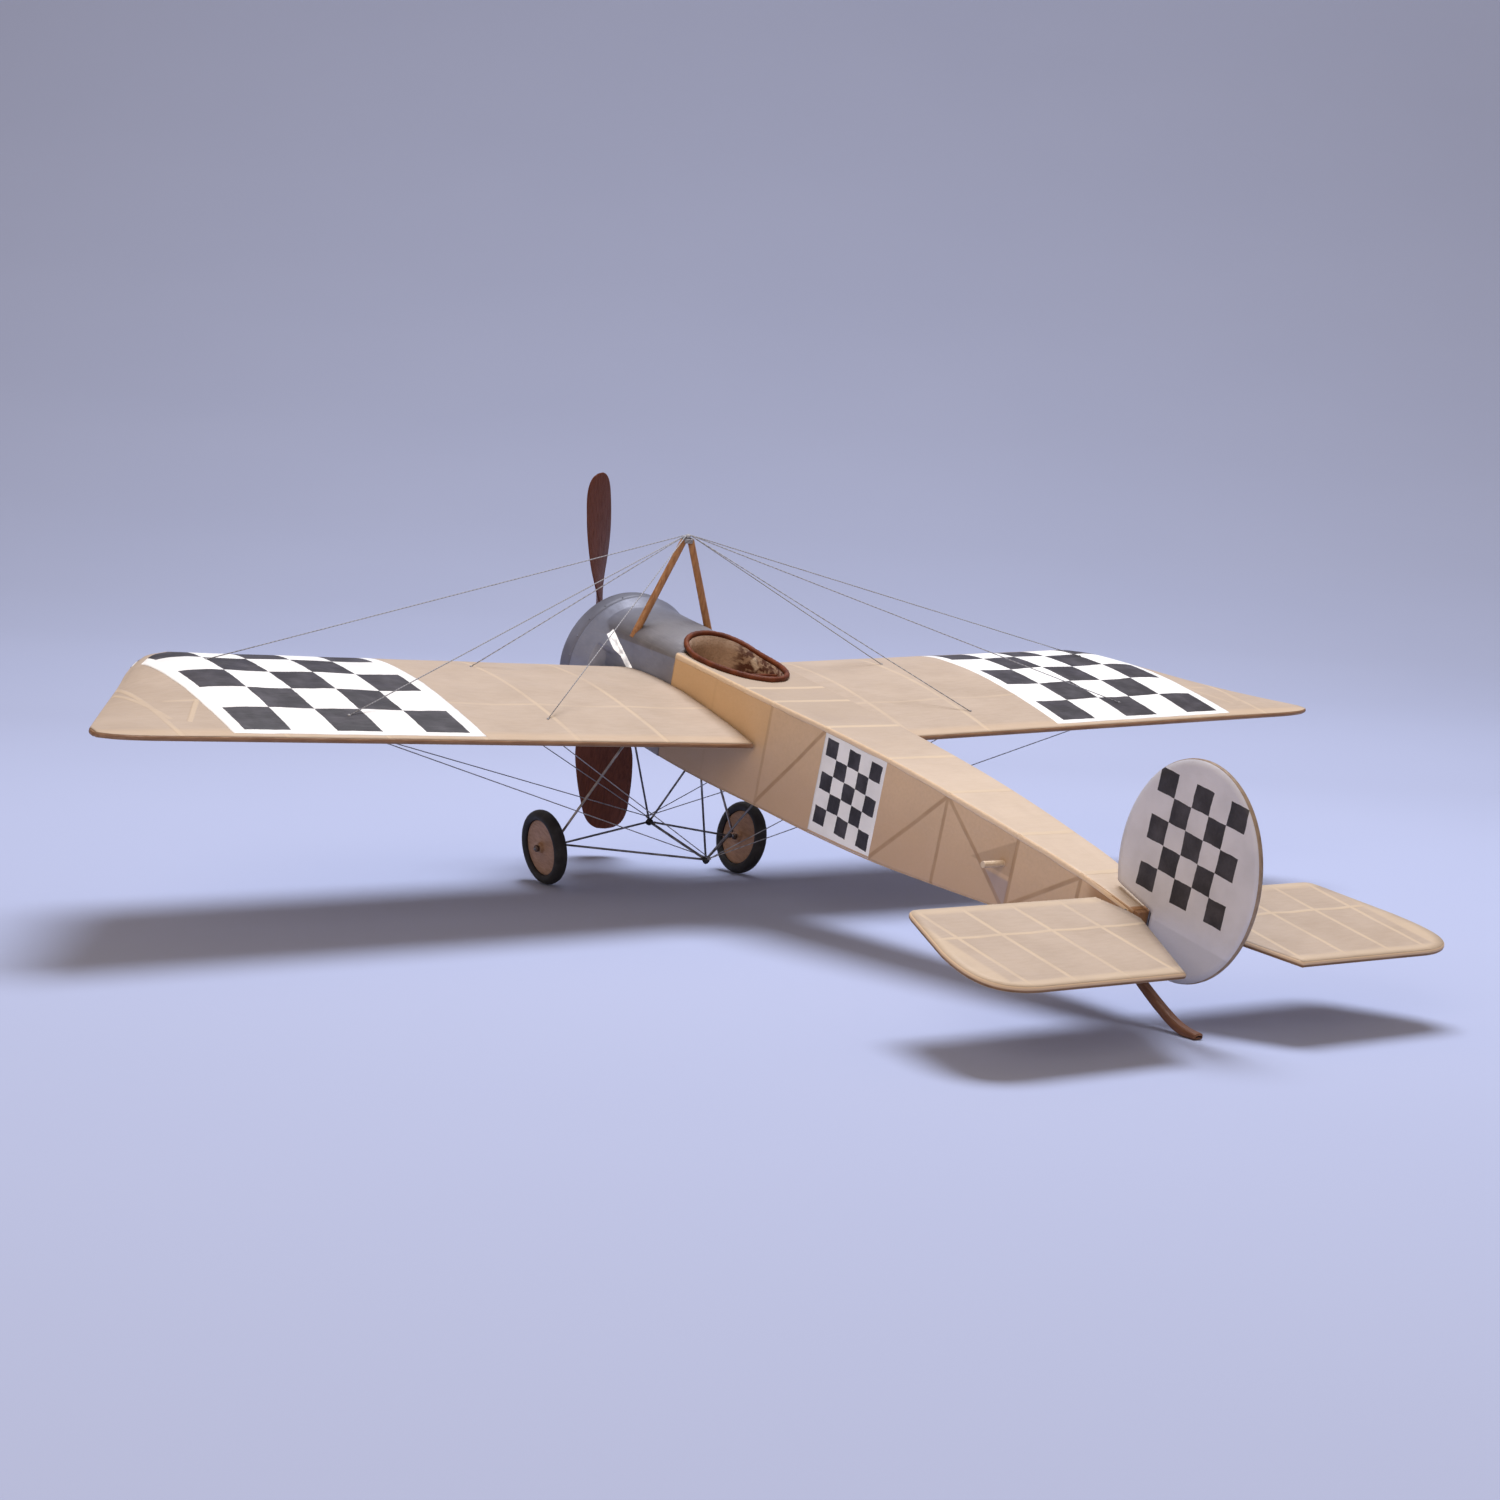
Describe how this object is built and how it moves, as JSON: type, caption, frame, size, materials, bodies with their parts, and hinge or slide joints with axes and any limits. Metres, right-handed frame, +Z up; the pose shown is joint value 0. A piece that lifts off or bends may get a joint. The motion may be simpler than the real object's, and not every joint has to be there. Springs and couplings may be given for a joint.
{
  "type": "rubber band powered model plane",
  "caption": "Stick-and-tissue shoulder-wing model monoplane with a rubber-driven propeller, wire landing gear, moving rudder and elevator.",
  "frame": {"origin": "centre of the bounding box in plan, on the surface that the wheels and tail skid stand on", "axes": "+X along the wingspan to the pilot's left, +Y towards the tail, +Z up; the airframe sits 12.5 degrees nose-up on its wheels and skid"},
  "size_m": [0.762, 0.5476, 0.2235],
  "materials": {
    "balsa": "satin",
    "dark_wood": "satin",
    "propeller_wood": "gloss",
    "tissue": "matte",
    "white_tissue": "matte",
    "metal_sheet": "satin",
    "engine_metal": "satin",
    "steel_wire": "satin",
    "brass": "satin",
    "tyre": "matte",
    "leather": "satin",
    "rubber_strip": "matte",
    "thread": "matte"
  },
  "bodies": {
    "airframe": {"axle_left": "steel_wire", "axle_right": "steel_wire", "cockpit_rim": "leather", "cockpit_tub": "leather", "cowl": "metal_sheet", "cross_frame_1": "balsa", "cross_frame_2": "balsa", "cross_frame_3": "balsa", "cross_frame_4": "balsa", "dummy_engine": "engine_metal", "firewall": "balsa", "fuselage_cover_bottom": "tissue", "fuselage_cover_left": "tissue", "fuselage_cover_right": "tissue", "fuselage_cover_top": "tissue", "fuselage_frame_left": "balsa", "fuselage_frame_right": "balsa", "gear_strut_left": "steel_wire", "gear_strut_right": "steel_wire", "gear_vee_front": "steel_wire", "gear_vee_rear": "steel_wire", "kingpost_left": "balsa", "kingpost_right": "balsa", "motor_peg": "balsa", "nose_block": "balsa", "nose_fairing": "metal_sheet", "rigging_lower_front": "thread", "rigging_lower_rear": "thread", "rigging_upper_left": "thread", "rigging_upper_right": "thread", "rubber_motor": "rubber_strip", "rudder_hinge_pin": "steel_wire", "sternpost": "dark_wood", "tail_block": "balsa", "tail_skid": "dark_wood", "thrust_bearing": "brass", "wing_cover_left": "tissue", "wing_cover_right": "tissue", "wing_frame_left": "balsa", "wing_frame_right": "balsa", "wing_leading_edge_left": "balsa", "wing_leading_edge_right": "balsa", "wing_trailing_edge_left": "balsa", "wing_trailing_edge_right": "balsa"},
    "propeller": {"propeller": "propeller_wood", "propeller_shaft": "steel_wire", "thrust_washer": "brass"},
    "wheel_left": {"wheel_disc_left": "balsa", "tyre_left": "tyre"},
    "wheel_right": {"wheel_disc_right": "balsa", "tyre_right": "tyre"},
    "rudder": {"rudder_frame": "balsa", "rudder_cover_left": "white_tissue", "rudder_cover_right": "white_tissue"},
    "elevator": {"elevator_frame_left": "balsa", "elevator_frame_right": "balsa", "elevator_cover_left": "tissue", "elevator_cover_right": "tissue", "elevator_joiner": "steel_wire"}
  },
  "joints": [
    {"name": "propeller_spin", "type": "hinge", "parent": "airframe", "child": "propeller", "pos_m": [0, -0.24664, 0.11934], "axis": [0, 0.9761, -0.2173], "continuous": true},
    {"name": "wheel_left_spin", "type": "hinge", "parent": "airframe", "child": "wheel_left", "pos_m": [0.0657, -0.19295, 0.02041], "axis": [0.9902, -0.0303, -0.1362], "continuous": true},
    {"name": "wheel_right_spin", "type": "hinge", "parent": "airframe", "child": "wheel_right", "pos_m": [-0.0657, -0.19295, 0.02041], "axis": [0.9902, 0.0303, 0.1362], "continuous": true},
    {"name": "rudder_turn", "type": "hinge", "parent": "airframe", "child": "rudder", "pos_m": [0, 0.20786, 0.04266], "axis": [0, 0.2173, 0.9761], "range_deg": [-20, 20]},
    {"name": "elevator_tilt", "type": "hinge", "parent": "airframe", "child": "elevator", "pos_m": [0, 0.20185, 0.04974], "axis": [1, 0, 0], "range_deg": [-20, 20]}
  ]
}
